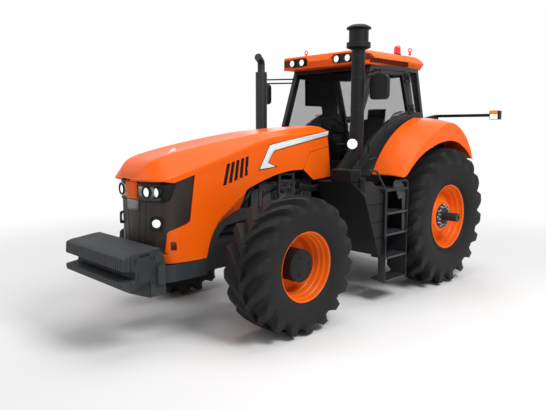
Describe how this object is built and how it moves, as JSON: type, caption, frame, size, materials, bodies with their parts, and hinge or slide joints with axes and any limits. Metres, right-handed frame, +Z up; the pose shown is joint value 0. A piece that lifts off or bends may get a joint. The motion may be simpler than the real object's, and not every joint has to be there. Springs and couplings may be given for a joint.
{
  "type": "farm tractor",
  "caption": "Large four-wheel-drive farm tractor with cab, one-piece hood, front weights and rear three-point linkage.",
  "frame": {"origin": "on the ground, midway between the weights' face and the lower links' ends, on the middle plane", "axes": "+Y towards the rear, +Z up, +X to the driver's left"},
  "size_m": [3.64, 6.5059, 3.712],
  "materials": {
    "tyre": "matte ribbed rubber",
    "rim": "gloss orange paint, lightly dusty",
    "body": "gloss orange paint",
    "dark": "satin black paint",
    "steel": "machined steel",
    "casting": "black painted cast iron",
    "engine": "dark grey painted castings",
    "plastic": "fine-grained black moulding",
    "grey": "smooth grey moulding",
    "glazing": "tinted safety glass",
    "lamp": "clear lens",
    "beacon": "clear red-orange dome",
    "trim": "dark cloth and soft trim"
  },
  "bodies": {
    "chassis": {"arch_shields": "dark", "beacon": "beacon", "cab_frame": "plastic", "cab_roof": "body", "cab_windows": "glazing", "dashboard": "trim", "drawbar": "dark", "drive_shaft": "dark", "engine": "engine", "exhaust_stack": "dark", "fender_left": "body", "fender_right": "body", "fender_strips": "plastic", "front_axle": "dark", "front_frame": "dark", "front_skirt": "dark", "front_weights": "casting", "fuel_tank": "plastic", "hood_side_panels": "plastic", "intake_stack": "plastic", "mirrors": "plastic", "pto_shaft": "steel", "radiator": "plastic", "rear_housing": "engine", "right_tank": "plastic", "roof_lamps": "lamp", "seat": "trim", "steering_cylinder": "dark", "steering_wheel": "plastic", "steps": "dark", "tool_box": "plastic", "top_link": "steel", "width_lamps": "plastic", "windscreen": "glazing"},
    "hood": {"hood_shell": "body", "grille": "plastic", "lamp_band": "grey", "headlamps": "lamp"},
    "steer_left": {"knuckle_left": "dark"},
    "steer_right": {"knuckle_right": "dark"},
    "front_wheel_left": {"front_tyre_left": "tyre", "front_rim_left": "rim", "front_hub_left": "dark"},
    "front_wheel_right": {"front_tyre_right": "tyre", "front_rim_right": "rim", "front_hub_right": "dark"},
    "rear_wheel_left": {"rear_tyre_left": "tyre", "rear_rim_left": "rim", "rear_hub_left": "steel"},
    "rear_wheel_right": {"rear_tyre_right": "tyre", "rear_rim_right": "rim", "rear_hub_right": "steel"},
    "door_left": {"door_frame": "plastic", "door_pane": "glazing"},
    "steer_rod": {"steering_rod": "steel"},
    "links": {"lower_links": "dark"},
    "lift": {"lift_arms": "dark"},
    "drop_rods": {"lift_rods": "steel"}
  },
  "joints": [
    {"name": "steer_left", "type": "hinge", "parent": "chassis", "child": "steer_left", "pos_m": [0.86, -1.36, 0.8], "axis": [0, 0, 1], "range_deg": [-35, 35]},
    {"name": "steer_right", "type": "hinge", "parent": "chassis", "child": "steer_right", "pos_m": [-0.86, -1.36, 0.8], "axis": [0, 0, 1], "range_deg": [-36, 36]},
    {"name": "steer_rod_slide", "type": "slide", "parent": "chassis", "child": "steer_rod", "axis": [1, 0, 0], "range_m": [-0.11, 0.11]},
    {"name": "front_wheel_left_spin", "type": "hinge", "parent": "steer_left", "child": "front_wheel_left", "pos_m": [1.14, -1.36, 0.8], "axis": [1, 0, 0], "continuous": true},
    {"name": "front_wheel_right_spin", "type": "hinge", "parent": "steer_right", "child": "front_wheel_right", "pos_m": [-1.14, -1.36, 0.8], "axis": [1, 0, 0], "continuous": true},
    {"name": "rear_wheel_left_spin", "type": "hinge", "parent": "chassis", "child": "rear_wheel_left", "pos_m": [1.085, 1.81, 1.033], "axis": [1, 0, 0], "continuous": true},
    {"name": "rear_wheel_right_spin", "type": "hinge", "parent": "chassis", "child": "rear_wheel_right", "pos_m": [-1.085, 1.81, 1.033], "axis": [1, 0, 0], "continuous": true},
    {"name": "hood_lift", "type": "hinge", "parent": "chassis", "child": "hood", "pos_m": [0, 0.04, 2.24], "axis": [-1, 0, 0], "range_deg": [0, 45]},
    {"name": "door_left_swing", "type": "hinge", "parent": "chassis", "child": "door_left", "pos_m": [0.878, 1.52108, 2.64], "axis": [0, -0.2826, 0.9592], "range_deg": [0, 75]},
    {"name": "links_lift", "type": "hinge", "parent": "chassis", "child": "links", "pos_m": [0, 2.2, 0.64], "axis": [1, 0, 0], "range_deg": [-12, 30]},
    {"name": "lift_arm_turn", "type": "hinge", "parent": "chassis", "child": "lift", "pos_m": [0, 2.08, 1.39], "axis": [1, 0, 0], "range_deg": [-11, 27]},
    {"name": "drop_rod_turn", "type": "hinge", "parent": "lift", "child": "drop_rods", "pos_m": [0, 2.6, 1.39], "axis": [1, 0, 0], "range_deg": [-27.5, 11]}
  ],
  "couplings": [
    {"joint": "steer_right", "follows": "steer_left", "ratio": 1},
    {"joint": "steer_rod_slide", "follows": "steer_left", "m_per_rad": -0.169},
    {"joint": "lift_arm_turn", "follows": "links_lift", "ratio": 0.87},
    {"joint": "drop_rod_turn", "follows": "links_lift", "ratio": -0.89}
  ]
}
